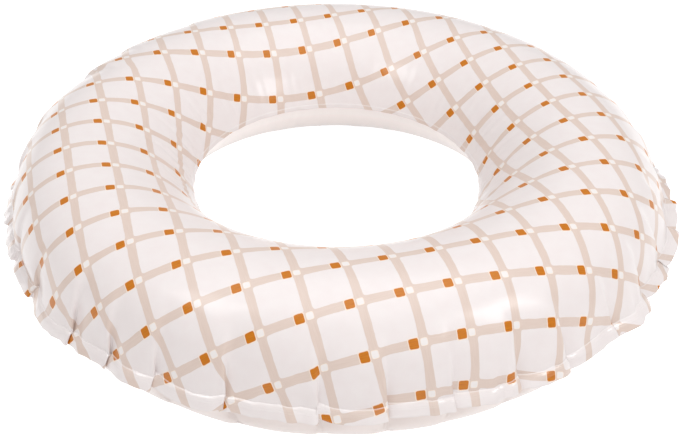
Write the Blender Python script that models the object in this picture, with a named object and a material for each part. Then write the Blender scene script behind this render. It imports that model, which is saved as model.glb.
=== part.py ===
"""Swim ring: two flat plastic rings welded together at both rims and blown up, with a pull-out valve.

Metres, +Z up. The ring lies on its lower film, with the origin on the floor under the middle of the hole.
"""
import math
import random

import bmesh
import bpy
import numpy as np
from mathutils import Matrix, Vector

# The blown-up tube. The film width is the length of one sheet from weld to weld.
HOLE_RADIUS = 0.173
FILM_WIDTH = 0.283
FILM_THICKNESS = 0.0003
PLUMPNESS = 1.03
CONTACT_DEPTH = 0.0005
GAP = 0.0003

# The two weld margins
SEAM_THICKNESS = 0.0006
SEAM_ROOT = 0.0005
OUTER_SEAM_WIDTH = 0.0145
OUTER_SEAM_NECK = 0.002
OUTER_SEAM_DROOP = math.radians(42)
OUTER_SEAM_SWING = math.radians(24)
INNER_SEAM_WIDTH = 0.005

# The lobes that the spare cloth round the outer weld makes. Opposite folds lie at opposite angles.
FOLD_PAIRS = 16
FOLD_SPREAD = 0.28
FOLD_SEED = 5
PUCKER_DEPTH = 0.009
PUCKER_LENGTH = 0.085
LOBE_ROUNDNESS = 2.2

# How finely the films are divided
COARSE_COLUMNS_PER_LOBE = 2
CALM_ROWS = 8
PUCKER_ROWS = 5

# The valve, on the outer slope of the lower film at the back
VALVE_TURN = 0.25
VALVE_ARC = 0.236
VALVE_CALM_RADIUS = 0.045
FLANGE_RADIUS = 0.020
FLANGE_THICKNESS = 0.0010
VALVE_HOLE_RADIUS = 0.0130
STEM_RADIUS = 0.0065
STEM_LENGTH = 0.0160
STEM_FOOT_RADIUS = 0.0075
STEM_FOOT_LENGTH = 0.0015
BORE_RADIUS = 0.0043
RIM_ABOVE_FILM = 0.0005
LUG_WIDTH = 0.0050
LUG_THICKNESS = 0.0015
HINGE_OFFSET = 0.0105
CAP_THICKNESS = 0.0020
CAP_TAB_LENGTH = 0.0025
STRAP_THICKNESS = 0.0010
SHANK_LENGTH = 0.0045
SHANK_TIP_RADIUS = 0.0032
WEB_THICKNESS = 0.0005
WEB_LIP_HEIGHT = 0.0026
WEB_COLLAR_HEIGHT = 0.0020
FLAP_RADIUS = 0.0054
FLAP_THICKNESS = 0.0005

ROUND_STEPS = 32
SECTION_STEPS = 1440

# Rows nearer than this are one row, because a mesh keeps 32-bit numbers
ROW_TOLERANCE = 0.00001

FOLD_COUNT = 2 * FOLD_PAIRS
COARSE_COLUMNS = FOLD_COUNT * COARSE_COLUMNS_PER_LOBE
EDGE_LIFT = SEAM_THICKNESS / 2 + GAP


def running_sum(values, steps):
    """Integral of values over steps, from the first to each of the others."""
    strips = (values[1:] + values[:-1]) / 2 * np.diff(steps)
    return np.concatenate([[0.0], np.cumsum(strips)])


def half_section(fullness):
    """Arc, radius, height and slope from the outer weld inwards, for a crown at radius 1.

    Air pressure on a film that can wrinkle round the ring but not stretch bends it in
    proportion to its radius, so the radius is the root of 1 - fullness * sin(slope).
    """
    slope = np.linspace(-math.pi / 2, math.pi / 2, SECTION_STEPS)
    radius = np.sqrt(1 - fullness * np.sin(slope))
    arc = running_sum(fullness / 2 / radius, slope)
    height = running_sum(-fullness / 2 * np.sin(slope) / radius, slope)
    last = int(np.argmax((slope > 0) & (height <= 0)))
    share = height[last - 1] / (height[last - 1] - height[last])
    curves = []
    for values in (arc, radius, height, slope):
        end = values[last - 1] + share * (values[last] - values[last - 1])
        curves.append(np.append(values[:last], end))
    return curves


def solve_section():
    """Section whose hole radius and film width are the ring's own, listed from the hole outwards."""
    low, high = 0.001, 0.999
    for _ in range(40):
        fullness = (low + high) / 2
        arc, radius, height, slope = half_section(fullness)
        if arc[-1] / radius[-1] < FILM_WIDTH / HOLE_RADIUS:
            low = fullness
        else:
            high = fullness
    scale = HOLE_RADIUS / radius[-1]
    arcs = (arc[-1] - arc)[::-1] * FILM_WIDTH / arc[-1]
    return arcs, (radius * scale)[::-1], (height * scale * PLUMPNESS)[::-1], slope[::-1]


ARCS, RADII, HEIGHTS, SLOPES = solve_section()
CROWN_HEIGHT = float(HEIGHTS.max())
CROWN_ARC = float(ARCS[HEIGHTS.argmax()])
OUTER_RADIUS = float(RADII[-1])
SEAM_LEVEL = CROWN_HEIGHT + EDGE_LIFT - CONTACT_DEPTH


def fold_turns():
    """Where the folds lie, as shares of a turn. The second half repeats the first."""
    draw = random.Random(FOLD_SEED)
    spread = [draw.uniform(-FOLD_SPREAD, FOLD_SPREAD) / 2 for _ in range(FOLD_PAIRS)]
    return [(k + spread[k % FOLD_PAIRS]) / FOLD_COUNT for k in range(FOLD_COUNT + 1)]


FOLD_TURNS = fold_turns()


def spread_turn(turn):
    """Move an even share of a turn so that even lobes become lobes of unlike width."""
    lobe = int(turn * FOLD_COUNT) % FOLD_COUNT
    along = turn * FOLD_COUNT - int(turn * FOLD_COUNT)
    return FOLD_TURNS[lobe] + along * (FOLD_TURNS[lobe + 1] - FOLD_TURNS[lobe])


def lobe_swell(turn):
    """How far a lobe stands out: -0.5 in a fold, 0.5 on a crest."""
    along = turn * FOLD_COUNT % 1.0
    return 0.5 - abs(2 * along - 1) ** LOBE_ROUNDNESS


def section_point(arc):
    """Radius, height over the weld plane and slope of the calm film at this arc from the hole's weld."""
    return tuple(float(np.interp(arc, ARCS, values)) for values in (RADII, HEIGHTS, SLOPES))


def round_ring(turn, radius, level):
    """Point at this share of a turn round the ring."""
    return Vector((radius * math.cos(math.tau * turn), radius * math.sin(math.tau * turn), level))


def valve_calm(turn, arc):
    """Near the stiff valve disc the film has no puckers: 0 there, 1 away from it."""
    across = ((spread_turn(turn) - VALVE_TURN + 0.5) % 1.0 - 0.5) * math.tau * OUTER_RADIUS
    away = math.hypot(across, arc - VALVE_ARC)
    return 1 - math.exp(-(away / VALVE_CALM_RADIUS) ** 4)


def pucker(turn, arc):
    """How far the lobes lift the film, along its own outward direction."""
    share = min(max((arc - FILM_WIDTH + PUCKER_LENGTH) / PUCKER_LENGTH, 0.0), 1.0)
    rise = share * share * (3 - 2 * share)
    return PUCKER_DEPTH * rise * lobe_swell(turn) * valve_calm(turn, arc)


def film_point(turn, arc, side):
    """Outer face of the upper film (side 1) or the lower film (side -1)."""
    radius, height, slope = section_point(arc)
    lift = pucker(turn, arc)
    outward = radius - math.sin(slope) * lift
    level = SEAM_LEVEL + side * (height + math.cos(slope) * lift + EDGE_LIFT)
    return round_ring(spread_turn(turn), outward, max(level, 0.0))


def outer_seam_point(turn, reach):
    """Middle of the outer weld margin, reach metres out from the weld line."""
    droop = OUTER_SEAM_DROOP - OUTER_SEAM_SWING * lobe_swell(turn)
    beyond = max(reach - OUTER_SEAM_NECK, 0.0)
    flat = min(reach, OUTER_SEAM_NECK)
    radius = OUTER_RADIUS + pucker(turn, FILM_WIDTH) + flat + beyond * math.cos(droop)
    return round_ring(spread_turn(turn), radius, SEAM_LEVEL - beyond * math.sin(droop))


def inner_seam_point(turn, reach):
    """Middle of the inner weld margin, reach metres from the weld line towards the hole's middle."""
    return round_ring(spread_turn(turn), HOLE_RADIUS - reach, SEAM_LEVEL)


def plastic(name, colour, roughness):
    """Glossy soft plastic."""
    material = bpy.data.materials.new(name)
    material.use_nodes = True
    shader = material.node_tree.nodes["Principled BSDF"]
    shader.inputs["Base Color"].default_value = (*colour, 1.0)
    shader.inputs["Roughness"].default_value = roughness
    shader.inputs["Metallic"].default_value = 0.0
    material.diffuse_color = (*colour, 1.0)
    return material


def add_object(name, mesh, material, parent=None, place=(0.0, 0.0, 0.0)):
    """Turn a bmesh into a smooth-shaded object."""
    data = bpy.data.meshes.new(name)
    mesh.to_mesh(data)
    mesh.free()
    data.shade_smooth()
    data.set_sharp_from_angle(angle=math.radians(35))
    part = bpy.data.objects.new(name, data)
    bpy.context.collection.objects.link(part)
    if material:
        data.materials.append(material)
    part.parent = parent
    part.location = place
    return part


def hide_cutter(cutter):
    """Keep a cutter or a joined-on shape out of the finished part."""
    cutter.hide_render = True
    cutter.display_type = "WIRE"


def boolean(part, other, operation):
    """Cut, join or keep the common space of two shapes."""
    hide_cutter(other)
    modifier = part.modifiers.new(operation.title(), "BOOLEAN")
    modifier.operation = operation
    modifier.object = other
    modifier.solver = "EXACT"


def solidify(part, thickness, offset):
    """Give a surface its thickness: offset -1 inwards, 0 to both sides."""
    modifier = part.modifiers.new("Thickness", "SOLIDIFY")
    modifier.thickness = thickness
    modifier.offset = offset
    modifier.use_even_offset = True


def swept_surface(rows, fine_from, place):
    """Spin a row of points round the ring, halve the columns of its outer rows and put each point in place.

    rows are arcs or reaches, and place gives the point of a share of a turn and a row's value.
    """
    mesh = bmesh.new()
    value = mesh.verts.layers.float.new("row")
    corners = []
    for number, row in enumerate(rows):
        corner = mesh.verts.new((1.0 + number, 0.0, 0.0))
        corner[value] = row
        corners.append(corner)
    edges = [mesh.edges.new(pair) for pair in zip(corners, corners[1:])]
    bmesh.ops.spin(mesh, geom=corners + edges, cent=(0, 0, 0), axis=(0, 0, 1), angle=math.tau,
                   steps=COARSE_COLUMNS, use_merge=True)
    bmesh.ops.remove_doubles(mesh, verts=mesh.verts, dist=1e-5)
    hoops = [edge for edge in mesh.edges
             if edge.verts[0][value] == edge.verts[1][value]
             and edge.verts[0][value] > fine_from - ROW_TOLERANCE]
    bmesh.ops.subdivide_edges(mesh, edges=hoops, cuts=1)
    bmesh.ops.triangulate(mesh, faces=mesh.faces)
    for vert in mesh.verts:
        turn = math.atan2(vert.co.y, vert.co.x) / math.tau % 1.0
        steps = turn * COARSE_COLUMNS * 2
        vert.co = place(round(steps) / COARSE_COLUMNS / 2 % 1.0, vert[value])
    return mesh


def face_away(mesh, inside):
    """Turn a surface round if its faces look towards the given inner points."""
    towards = sum(face.normal.dot(face.calc_center_median() - inside(face)) for face in mesh.faces)
    if towards < 0:
        bmesh.ops.reverse_faces(mesh, faces=mesh.faces)


def tube_core(face):
    """Point inside the tube nearest to a face: on the crown circle, at the weld's level."""
    middle = face.calc_center_median()
    return round_ring(math.atan2(middle.y, middle.x) / math.tau, section_point(CROWN_ARC)[0], SEAM_LEVEL)


def film_rows():
    """Arcs of the film's rows: even over the calm part, with the floor contact's edges, then the puckers."""
    half_contact = math.sqrt(2 * CONTACT_DEPTH * CROWN_HEIGHT)
    contact = [CROWN_ARC - half_contact, CROWN_ARC + half_contact]
    calm_end = FILM_WIDTH - PUCKER_LENGTH
    calm = [calm_end * k / CALM_ROWS for k in range(CALM_ROWS)]
    calm = [arc for arc in calm if min(abs(arc - edge) for edge in contact) > half_contact]
    puckered = [calm_end + PUCKER_LENGTH * k / PUCKER_ROWS for k in range(PUCKER_ROWS + 1)]
    return sorted(calm + contact + puckered)


def film_surface(side):
    """Outer face of one film."""
    fine_from = FILM_WIDTH - PUCKER_LENGTH
    mesh = swept_surface(film_rows(), fine_from, lambda turn, arc: film_point(turn, arc, side))
    mesh.normal_update()
    face_away(mesh, tube_core)
    return mesh


def make_films(printed, plain):
    """The two sheets, each a thin shell."""
    upper = add_object("upper_film", film_surface(1), printed)
    lower = add_object("lower_film", film_surface(-1), plain)
    solidify(upper, FILM_THICKNESS, -1)
    solidify(lower, FILM_THICKNESS, -1)
    return lower


def make_seams(material):
    """The welded margins round the outside and round the hole."""
    outer_rows = [-SEAM_ROOT, OUTER_SEAM_NECK, OUTER_SEAM_WIDTH]
    inner_rows = [-SEAM_ROOT, INNER_SEAM_WIDTH]
    outer = swept_surface(outer_rows, -SEAM_ROOT, outer_seam_point)
    inner = swept_surface(inner_rows, INNER_SEAM_WIDTH * 2, inner_seam_point)
    for name, mesh in (("outer_seam", outer), ("inner_seam", inner)):
        mesh.normal_update()
        face_away(mesh, lambda face: face.calc_center_median() - Vector((0, 0, 1)))
        solidify(add_object(name, mesh, material), SEAM_THICKNESS, 0)


def make_valve_seat():
    """Empty on the lower film at the valve: Z points out of the film, X uphill towards the outer weld."""
    radius, height, slope = section_point(VALVE_ARC)
    centre = round_ring(VALVE_TURN, radius, SEAM_LEVEL - EDGE_LIFT - height)
    uphill = round_ring(VALVE_TURN, math.cos(slope), -math.sin(slope))
    outward = round_ring(VALVE_TURN, -math.sin(slope), -math.cos(slope))
    turned_axes = Matrix((uphill, outward.cross(uphill), outward)).transposed()
    seat = bpy.data.objects.new("valve_seat", None)
    bpy.context.collection.objects.link(seat)
    seat.matrix_world = Matrix.Translation(centre) @ turned_axes.to_4x4()
    return seat


def turned(profile):
    """Solid of revolution about Z from (radius, height) points that run anticlockwise."""
    mesh = bmesh.new()
    corners = [mesh.verts.new((radius, 0, height)) for radius, height in profile]
    pairs = list(zip(corners, corners[1:]))
    if profile[0][0] > 0:
        pairs.append((corners[-1], corners[0]))
    edges = [mesh.edges.new(pair) for pair in pairs]
    bmesh.ops.spin(mesh, geom=corners + edges, cent=(0, 0, 0), axis=(0, 0, 1), angle=math.tau,
                   steps=ROUND_STEPS, use_merge=True)
    bmesh.ops.remove_doubles(mesh, verts=mesh.verts, dist=1e-6)
    bmesh.ops.recalc_face_normals(mesh, faces=mesh.faces)
    return mesh


def block(low, high):
    """Box between two corners."""
    mesh = bmesh.new()
    bmesh.ops.create_cube(mesh, size=1.0)
    size = Vector(high) - Vector(low)
    bmesh.ops.scale(mesh, vec=size, verts=mesh.verts)
    bmesh.ops.translate(mesh, vec=(Vector(low) + Vector(high)) / 2, verts=mesh.verts)
    return mesh


def moved(mesh, offset):
    """Shift a whole bmesh."""
    bmesh.ops.translate(mesh, vec=offset, verts=mesh.verts)
    return mesh


def pipe_profile(outer, inner, low, high):
    """Section of a plain pipe."""
    return [(inner, low), (outer, low), (outer, high), (inner, high)]


def make_valve_flange(seat, material):
    """Soft disc welded to the inside of the lower film, with the film's own curve."""
    mesh = film_surface(-1)
    centre = seat.matrix_world.translation
    reach = 3 * FLANGE_RADIUS
    far = [vert for vert in mesh.verts if (vert.co - centre).length > reach]
    mesh.normal_update()
    inset = FILM_THICKNESS + GAP
    normals = {vert: vert.normal.copy() for vert in mesh.verts}
    for vert in mesh.verts:
        vert.co -= normals[vert] * inset
    bmesh.ops.delete(mesh, geom=far, context="VERTS")
    flange = add_object("valve_flange", mesh, material)
    solidify(flange, FLANGE_THICKNESS, -1)
    ring = turned(pipe_profile(FLANGE_RADIUS, VALVE_HOLE_RADIUS, -FLANGE_RADIUS, FLANGE_RADIUS))
    boolean(flange, add_object("flange_outline", ring, None, seat), "INTERSECT")


def cut_valve_hole(lower, seat):
    """Round hole in the lower film."""
    drill = turned([(0, -FLANGE_RADIUS), (VALVE_HOLE_RADIUS, -FLANGE_RADIUS),
                    (VALVE_HOLE_RADIUS, FLANGE_RADIUS), (0, FLANGE_RADIUS)])
    boolean(lower, add_object("hole_drill", drill, None, seat), "DIFFERENCE")


def make_valve_stem(seat, material):
    """Blowing tube, pushed in: only its rim stands out of the film. Its hinge lug points uphill."""
    foot = RIM_ABOVE_FILM - STEM_LENGTH
    profile = [(BORE_RADIUS, foot), (STEM_FOOT_RADIUS - 0.0004, foot), (STEM_FOOT_RADIUS, foot + 0.0004),
               (STEM_FOOT_RADIUS, foot + STEM_FOOT_LENGTH), (STEM_RADIUS, foot + STEM_FOOT_LENGTH),
               (STEM_RADIUS, RIM_ABOVE_FILM - 0.0004), (STEM_RADIUS - 0.0004, RIM_ABOVE_FILM),
               (BORE_RADIUS, RIM_ABOVE_FILM)]
    stem = add_object("valve_stem", turned(profile), material, seat)
    wall_middle = (STEM_RADIUS + BORE_RADIUS) / 2
    lug = block((wall_middle, -LUG_WIDTH / 2, RIM_ABOVE_FILM - LUG_THICKNESS),
                (HINGE_OFFSET, LUG_WIDTH / 2, RIM_ABOVE_FILM))
    boolean(stem, add_object("stem_lug", lug, None, seat), "UNION")
    return stem


def make_valve_plug(stem, material):
    """Stopper, cap, pull tab and strap. Its origin is on the strap's hinge at the end of the lug."""
    hinge = Vector((HINGE_OFFSET, 0, RIM_ABOVE_FILM + GAP / 2))
    under = RIM_ABOVE_FILM + GAP
    shank_radius = BORE_RADIUS - GAP
    profile = [(0, under - SHANK_LENGTH), (SHANK_TIP_RADIUS - 0.0006, under - SHANK_LENGTH),
               (SHANK_TIP_RADIUS, under - SHANK_LENGTH + 0.0006), (shank_radius, under),
               (STEM_RADIUS, under), (STEM_RADIUS, under + CAP_THICKNESS - 0.0005),
               (STEM_RADIUS - 0.0005, under + CAP_THICKNESS), (0, under + CAP_THICKNESS)]
    plug = add_object("valve_plug", moved(turned(profile), -hinge), material, stem, hinge)
    strap = block((STEM_RADIUS / 2, -LUG_WIDTH / 2, under), (HINGE_OFFSET, LUG_WIDTH / 2, under + STRAP_THICKNESS))
    tab = block((-STEM_RADIUS - CAP_TAB_LENGTH, -LUG_WIDTH / 2, under + GAP),
                (-STEM_RADIUS / 2, LUG_WIDTH / 2, under + GAP + STRAP_THICKNESS))
    boolean(plug, add_object("plug_strap", moved(strap, -hinge), None, stem, hinge), "UNION")
    boolean(plug, add_object("plug_tab", moved(tab, -hinge), None, stem, hinge), "UNION")


def make_check_flap(stem, material):
    """Thin disc over the inner end of the bore. Its origin is on its hinge at the uphill edge."""
    top = RIM_ABOVE_FILM - STEM_LENGTH - GAP
    hinge = Vector((FLAP_RADIUS, 0, top))
    disc = turned([(0, top - FLAP_THICKNESS), (FLAP_RADIUS, top - FLAP_THICKNESS), (FLAP_RADIUS, top), (0, top)])
    add_object("check_flap", moved(disc, -hinge), material, stem, hinge)


def make_valve_web(seat, material):
    """Thin cone that holds the stem in the flange."""
    lip = VALVE_HOLE_RADIUS - GAP
    collar = STEM_FOOT_RADIUS + GAP
    foot = RIM_ABOVE_FILM - STEM_LENGTH
    lip_top = -FILM_THICKNESS
    lip_foot = lip_top - WEB_LIP_HEIGHT
    profile = [(collar, foot), (collar + WEB_THICKNESS, foot), (lip, lip_foot), (lip, lip_top),
               (lip - WEB_THICKNESS, lip_top), (lip - WEB_THICKNESS, lip_foot + WEB_THICKNESS),
               (collar + WEB_THICKNESS / 2, foot + WEB_COLLAR_HEIGHT), (collar, foot + WEB_COLLAR_HEIGHT)]
    add_object("valve_web", turned(profile), material, seat)


def build():
    """Make the whole ring."""
    for leftover in list(bpy.data.objects):
        bpy.data.objects.remove(leftover)
    printed = plastic("printed_film", (0.87, 0.80, 0.78), 0.22)
    plain = plastic("plain_film", (0.86, 0.80, 0.79), 0.25)
    welded = plastic("welded_margin", (0.84, 0.79, 0.77), 0.30)
    soft = plastic("valve_plastic", (0.90, 0.88, 0.86), 0.30)
    lower = make_films(printed, plain)
    make_seams(welded)
    seat = make_valve_seat()
    cut_valve_hole(lower, seat)
    make_valve_flange(seat, soft)
    make_valve_web(seat, soft)
    stem = make_valve_stem(seat, soft)
    make_valve_plug(stem, soft)
    make_check_flap(stem, soft)


build()
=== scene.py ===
"""Looks of the swim ring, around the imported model: printed film, plain film, weld margins and valve.

Metres, +Z up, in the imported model's own frame. The two films and the outer margin start as a lobed cage
and are blown up by a cloth simulation. The print is drawn on the flat sheet's own coordinates, so it
follows the film through every fold.
"""

import logging
import math
import random
from collections.abc import Iterable, Sequence
from dataclasses import asdict, dataclass, field
from enum import Enum

import bmesh
import bpy
import numpy as np
from mathutils import Matrix, Vector
from mathutils.bvhtree import BVHTree


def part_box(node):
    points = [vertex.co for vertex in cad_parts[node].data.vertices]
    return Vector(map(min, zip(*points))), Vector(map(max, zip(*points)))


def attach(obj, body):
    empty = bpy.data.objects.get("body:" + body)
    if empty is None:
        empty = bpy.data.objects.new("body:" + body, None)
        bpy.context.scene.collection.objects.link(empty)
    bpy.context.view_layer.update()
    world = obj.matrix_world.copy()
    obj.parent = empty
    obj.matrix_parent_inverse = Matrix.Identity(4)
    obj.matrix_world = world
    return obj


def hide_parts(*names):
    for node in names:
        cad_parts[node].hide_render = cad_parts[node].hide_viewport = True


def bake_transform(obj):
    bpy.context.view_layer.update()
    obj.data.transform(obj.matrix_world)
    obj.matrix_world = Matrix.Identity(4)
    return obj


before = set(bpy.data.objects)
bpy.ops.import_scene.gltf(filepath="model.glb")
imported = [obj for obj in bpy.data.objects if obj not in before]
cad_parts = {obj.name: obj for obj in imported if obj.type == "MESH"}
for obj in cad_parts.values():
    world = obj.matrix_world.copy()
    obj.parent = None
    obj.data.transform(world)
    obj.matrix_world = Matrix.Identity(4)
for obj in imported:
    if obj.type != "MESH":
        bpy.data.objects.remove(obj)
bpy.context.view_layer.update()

log = logging.getLogger("swim_ring")

Colour = tuple[float, float, float]
Table = tuple[tuple[float, float], ...]
Profile = Sequence[tuple[float, float]]
Socket = bpy.types.NodeSocket

RING_BODY = "ring"
STEM_BODY = "stem"
PLUG_BODY = "plug"

FLAT_MAP = "flat_sheet"
SHARP_EDGE = math.radians(35)


class Sheet(Enum):
    """What a row of the blown-up cage belongs to."""

    UPPER = 1
    LOWER = -1
    MARGIN = 0


def srgb(red: int, green: int, blue: int) -> Colour:
    """Linear colour of an 8-bit display colour."""
    shares = (value / 255 for value in (red, green, blue))
    return tuple(share / 12.92 if share <= 0.04045 else ((share + 0.055) / 1.055) ** 2.4 for share in shares)


class Sheen:
    """Short calls for the nodes of one material, or of the world."""

    def __init__(self, owner: bpy.types.Material | bpy.types.World) -> None:
        """Start from the shader that the owner has by itself.

        Args:
            owner: The material or the world.
        """
        owner.use_nodes = True
        self.tree = owner.node_tree
        kind = "World" if isinstance(owner, bpy.types.World) else "Material"
        self.last = self.tree.nodes[f"{kind} Output"]
        self.shader = self.last.inputs["Surface"].links[0].from_node

    def node(self, kind: str, **settings: object) -> bpy.types.Node:
        """Add a node and set its properties.

        Args:
            kind: The node's type.
            settings: Its properties.

        Returns:
            The node.
        """
        made = self.tree.nodes.new(kind)
        for key, value in settings.items():
            setattr(made, key, value)
        return made

    def feed(self, sockets: Iterable[Socket], *values: object) -> None:
        """Link a socket or write a plain value into each input in turn.

        Args:
            sockets: The inputs.
            values: A value or an output for each of the first of them.
        """
        for socket, value in zip(sockets, values):
            if isinstance(value, bpy.types.NodeSocket):
                self.tree.links.new(value, socket)
            else:
                socket.default_value = value

    def paint(self, inputs: dict[str, object]) -> None:
        """Feed the shader's own inputs, by name."""
        self.feed([self.shader.inputs[name] for name in inputs], *inputs.values())

    def maths(self, operation: str, *values: object, clamp: bool = False) -> Socket:
        """Add a Math node.

        Args:
            operation: What it does.
            values: The numbers or outputs that it does it with.
            clamp: Whether the result is kept within 0 and 1.

        Returns:
            The result.
        """
        made = self.node("ShaderNodeMath", operation=operation, use_clamp=clamp)
        self.feed(made.inputs, *values)
        return made.outputs[0]

    def total(self, *values: object) -> Socket:
        """Add up several values.

        Args:
            values: Numbers or outputs.

        Returns:
            The sum.
        """
        result = values[0]
        for value in values[1:]:
            result = self.maths("ADD", result, value)
        return result

    def times(self, first: object, second: object) -> Socket:
        """Product of two values or masks."""
        return self.maths("MULTIPLY", first, second)

    def under(self, value: object, limit: object, soft: float) -> Socket:
        """Mask that is 1 where a value is below a limit, with a soft step of the given width."""
        share = self.maths("DIVIDE", self.maths("SUBTRACT", limit, value), soft)
        return self.maths("ADD", share, 0.5, clamp=True)

    def noise(self, vector: Socket, scale: float, detail: float = 2.0, seed: float | None = None) -> Socket:
        """Noise, 0 to 1.

        Args:
            vector: Coordinates on which it lies.
            scale: How fine it is.
            detail: How many finer layers lie on it.
            seed: Takes it to a place of its own.

        Returns:
            The noise.
        """
        made = self.node("ShaderNodeTexNoise", noise_dimensions="3D" if seed is None else "4D")
        names = ("Vector", "Scale", "Detail") if seed is None else ("Vector", "Scale", "Detail", "W")
        self.feed([made.inputs[name] for name in names], vector, scale, detail, seed)
        return made.outputs["Fac"]

    def swayed(self, vector: Socket, scale: float, reach: float, seed: float) -> Socket:
        """Noise between -reach and reach along a line of its own."""
        return self.times(self.maths("SUBTRACT", self.noise(vector, scale, 1.0, seed), 0.5), 2 * reach)

    def mix(self, share: object, low: object, high: object) -> Socket:
        """Mix two colours.

        Args:
            share: Share of the second colour.
            low: The first colour.
            high: The second colour.

        Returns:
            The mixed colour.
        """
        made = self.node("ShaderNodeMix", data_type="RGBA")
        colours = [(*colour, 1.0) if isinstance(colour, tuple) else colour for colour in (low, high)]
        self.feed((made.inputs[0], made.inputs[6], made.inputs[7]), share, *colours)
        return made.outputs[2]

    def object_place(self) -> Socket:
        """The piece's own coordinates, in metres."""
        return self.node("ShaderNodeTexCoord").outputs["Object"]

    def bump(self, height: Socket, distance: float, *under: Socket) -> Socket:
        """Normal that a height gives.

        Args:
            height: Share, 0 to 1, of the whole height.
            distance: The whole height.
            under: A normal over which it lies.

        Returns:
            The new normal.
        """
        made = self.node("ShaderNodeBump")
        self.feed([made.inputs[name] for name in ("Height", "Distance", "Normal")], height, distance, *under)
        return made.outputs["Normal"]

    def ribbed(self, normal: Socket, away: Socket, pitch: float, width: float, soft: float,
               height: float) -> Socket:
        """Normal with fine ribs laid over it.

        Args:
            normal: The normal below.
            away: Distance across the ribs.
            pitch: Distance from rib to rib.
            width: Distance at which the ribs end.
            soft: Width over which they fade there.
            height: Height of the ribs.

        Returns:
            The new normal.
        """
        wave = self.maths("SINE", self.times(away, math.tau / pitch))
        ribs = self.times(self.maths("MULTIPLY_ADD", wave, 0.5, 0.5), self.under(away, width, soft))
        return self.bump(ribs, height, normal)

    def show(self, rays: Sequence[str], share: float, other: bpy.types.Node) -> None:
        """Mix another shader in for some kinds of ray.

        Args:
            rays: Those kinds, by their outputs' names.
            share: Share of the other shader.
            other: The other shader.
        """
        path = self.node("ShaderNodeLightPath")
        seen = path.outputs[rays[0]]
        for ray in rays[1:]:
            seen = self.maths("MAXIMUM", seen, path.outputs[ray])
        mixed = self.node("ShaderNodeMixShader")
        self.feed(mixed.inputs, self.times(seen, share), self.shader.outputs[0], other.outputs[0])
        self.feed([self.last.inputs["Surface"]], mixed.outputs[0])


@dataclass(frozen=True)
class Check:
    """The printed check, in metres on the flat sheet."""

    turn: float = math.radians(16.4)
    pitch: float = 0.0491
    patch_middle: tuple[float, float] = (0.0150, 0.0150)
    crossing_step: float = 0.0103
    band: float = 0.0089
    band_corner: float = 0.0050
    square: float = 0.0064
    patch: float = 0.0094
    corner: float = 0.0030
    patch_rim: float = 0.0008
    square_rim: float = 0.0004
    wobble: float = 0.0005
    wobble_scale: float = 24
    band_sway: float = 0.0010
    band_scales: tuple[float, float] = (30, 34)
    nick_scale: float = 120
    corner_scale: float = 110
    edge: float = 0.0004
    streak_scales: tuple[float, float] = (60.0, 900.0)
    cloud_scale: float = 70
    far_rows: tuple[float, float] = (0.1574, 0.2409)
    far_gap: float = 0.0147
    far_spread: float = 0.03


@dataclass(frozen=True)
class Inks:
    """Colours of the sheet and its print."""

    sheet: Colour = srgb(243, 237, 236)
    shade: Colour = srgb(239, 229, 228)
    beige: Colour = srgb(231, 213, 203)
    beige_dark: Colour = srgb(220, 199, 187)
    patch: Colour = srgb(222, 137, 6)
    patch_dark: Colour = srgb(181, 95, 2)
    rim: Colour = srgb(250, 232, 214)
    square: Colour = srgb(243, 237, 235)
    # Pale colour of the painted highlight along the welds, and of the painted light band on the plain film
    # round the hole.
    weld: Colour = srgb(252, 248, 247)


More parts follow.
